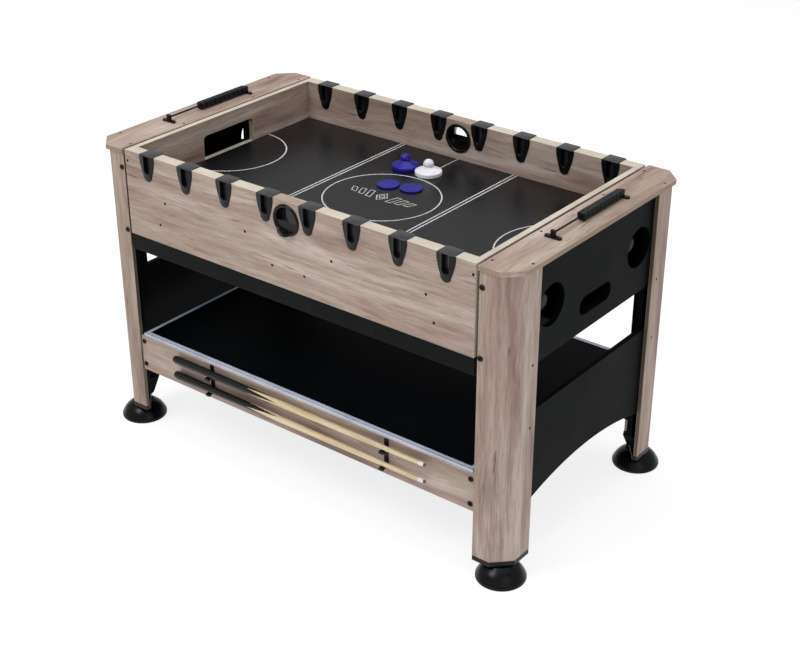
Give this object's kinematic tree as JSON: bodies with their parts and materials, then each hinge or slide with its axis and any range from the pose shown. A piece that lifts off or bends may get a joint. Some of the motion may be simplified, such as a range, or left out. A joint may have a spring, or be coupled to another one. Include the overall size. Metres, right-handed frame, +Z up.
{
  "type": "combination game table",
  "caption": "Free-standing combination game table with a turning two-sided playing box between two end frames, cues and table tennis top stored below.",
  "frame": {"origin": "on the floor, under the middle of the table", "axes": "+X along the table's length, -Y towards the side where the cues hang, +Z up"},
  "size_m": [1.414, 0.796, 0.887],
  "materials": {
    "wood_laminate": "weathered oak laminate, satin",
    "black_board": "black laminate, fine matt",
    "black_plastic": "moulded, satin",
    "dark_steel": "black oxide",
    "playing_surface": "smooth charcoal laminate with white lines",
    "pool_cloth": "napped cloth",
    "tennis_board": "matt paint with white border",
    "cue_maple": "varnished",
    "blue_plastic": "gloss moulded",
    "white_plastic": "gloss moulded"
  },
  "bodies": {
    "frame": {"leg_front_left": "wood_laminate", "leg_front_right": "wood_laminate", "leg_rear_left": "wood_laminate", "leg_rear_right": "wood_laminate", "end_shelf_left": "wood_laminate", "end_shelf_right": "wood_laminate", "stretcher_front": "wood_laminate", "stretcher_rear": "wood_laminate", "end_panel_outer_left": "black_board", "end_panel_outer_right": "black_board", "end_panel_inner_left": "black_board", "end_panel_inner_right": "black_board", "end_apron_left": "black_board", "end_apron_right": "black_board", "leg_inner_boards": "black_board", "foot_blocks": "black_board", "leg_caps": "black_plastic", "catch_trays": "black_plastic", "scorer_frames": "black_plastic", "cue_clips": "black_plastic", "pivot_bearings": "black_plastic", "frame_bolts": "dark_steel", "frame_screws": "dark_steel", "stretcher_brackets": "dark_steel"},
    "playing_box": {"side_rail_front": "wood_laminate", "side_rail_rear": "wood_laminate", "end_wall_left": "wood_laminate", "end_wall_right": "wood_laminate", "playfield": "playing_surface", "cross_braces": "black_board", "pool_bed": "pool_cloth", "pocket_cups": "black_plastic", "pool_rails_long": "black_board", "pool_rails_short": "black_board", "cushions": "pool_cloth", "rod_bushings": "black_plastic", "bushing_caps": "black_plastic", "ball_entries": "black_plastic", "pivot_axles": "dark_steel", "box_screws": "dark_steel"},
    "foot_front_left": {"foot_front_left": "black_plastic"},
    "foot_front_right": {"foot_front_right": "black_plastic"},
    "foot_rear_left": {"foot_rear_left": "black_plastic"},
    "foot_rear_right": {"foot_rear_right": "black_plastic"},
    "lock_pin_front_left": {"lock_pin_front_left": "black_plastic"},
    "lock_pin_front_right": {"lock_pin_front_right": "black_plastic"},
    "lock_pin_rear_left": {"lock_pin_rear_left": "black_plastic"},
    "lock_pin_rear_right": {"lock_pin_rear_right": "black_plastic"},
    "scorer_row_left": {"scorer_row_left": "black_plastic"},
    "scorer_lead_bead_left": {"scorer_lead_bead_left": "black_plastic"},
    "scorer_row_right": {"scorer_row_right": "black_plastic"},
    "scorer_lead_bead_right": {"scorer_lead_bead_right": "black_plastic"},
    "tennis_top": {"tennis_top": "tennis_board"},
    "cue_upper": {"cue_upper": "cue_maple"},
    "cue_lower": {"cue_lower": "cue_maple"},
    "pusher_blue": {"pusher_blue": "blue_plastic"},
    "pusher_white": {"pusher_white": "white_plastic"},
    "puck_one": {"puck_one": "blue_plastic"},
    "puck_two": {"puck_two": "blue_plastic"}
  },
  "joints": [
    {"name": "box_turn", "type": "hinge", "parent": "frame", "child": "playing_box", "pos_m": [0, 0, 0.7195], "axis": [1, 0, 0], "continuous": true},
    {"name": "foot_front_left_screw", "type": "slide", "parent": "frame", "child": "foot_front_left", "axis": [0, 0, -1], "range_m": [0, 0.012]},
    {"name": "foot_front_right_screw", "type": "slide", "parent": "frame", "child": "foot_front_right", "axis": [0, 0, -1], "range_m": [0, 0.012]},
    {"name": "foot_rear_left_screw", "type": "slide", "parent": "frame", "child": "foot_rear_left", "axis": [0, 0, -1], "range_m": [0, 0.012]},
    {"name": "foot_rear_right_screw", "type": "slide", "parent": "frame", "child": "foot_rear_right", "axis": [0, 0, -1], "range_m": [0, 0.012]},
    {"name": "lock_front_left_push", "type": "slide", "parent": "frame", "child": "lock_pin_front_left", "axis": [1, 0, 0], "range_m": [0, 0.02]},
    {"name": "lock_front_right_push", "type": "slide", "parent": "frame", "child": "lock_pin_front_right", "axis": [-1, 0, 0], "range_m": [0, 0.02]},
    {"name": "lock_rear_left_push", "type": "slide", "parent": "frame", "child": "lock_pin_rear_left", "axis": [1, 0, 0], "range_m": [0, 0.02]},
    {"name": "lock_rear_right_push", "type": "slide", "parent": "frame", "child": "lock_pin_rear_right", "axis": [-1, 0, 0], "range_m": [0, 0.02]},
    {"name": "scorer_row_left_slide", "type": "slide", "parent": "frame", "child": "scorer_row_left", "axis": [0, -1, 0], "range_m": [0, 0.05]},
    {"name": "scorer_bead_left_slide", "type": "slide", "parent": "scorer_row_left", "child": "scorer_lead_bead_left", "axis": [0, -1, 0], "range_m": [0, 0.06]},
    {"name": "scorer_row_right_slide", "type": "slide", "parent": "frame", "child": "scorer_row_right", "axis": [0, -1, 0], "range_m": [0, 0.05]},
    {"name": "scorer_bead_right_slide", "type": "slide", "parent": "scorer_row_right", "child": "scorer_lead_bead_right", "axis": [0, -1, 0], "range_m": [0, 0.06]},
    {"name": "tennis_top_draw", "type": "slide", "parent": "frame", "child": "tennis_top", "axis": [0, -1, 0], "range_m": [0, 0.5]},
    {"name": "cue_upper_lift_out", "type": "slide", "parent": "frame", "child": "cue_upper", "axis": [0, -1, 0], "range_m": [0, 0.08]},
    {"name": "cue_lower_lift_out", "type": "slide", "parent": "frame", "child": "cue_lower", "axis": [0, -1, 0], "range_m": [0, 0.08]},
    {"name": "pusher_blue_lift", "type": "slide", "parent": "playing_box", "child": "pusher_blue", "axis": [0, 0, 1], "range_m": [0, 0.06]},
    {"name": "pusher_white_lift", "type": "slide", "parent": "playing_box", "child": "pusher_white", "axis": [0, 0, 1], "range_m": [0, 0.06]},
    {"name": "puck_one_lift", "type": "slide", "parent": "playing_box", "child": "puck_one", "axis": [0, 0, 1], "range_m": [0, 0.06]},
    {"name": "puck_two_lift", "type": "slide", "parent": "playing_box", "child": "puck_two", "axis": [0, 0, 1], "range_m": [0, 0.06]}
  ]
}
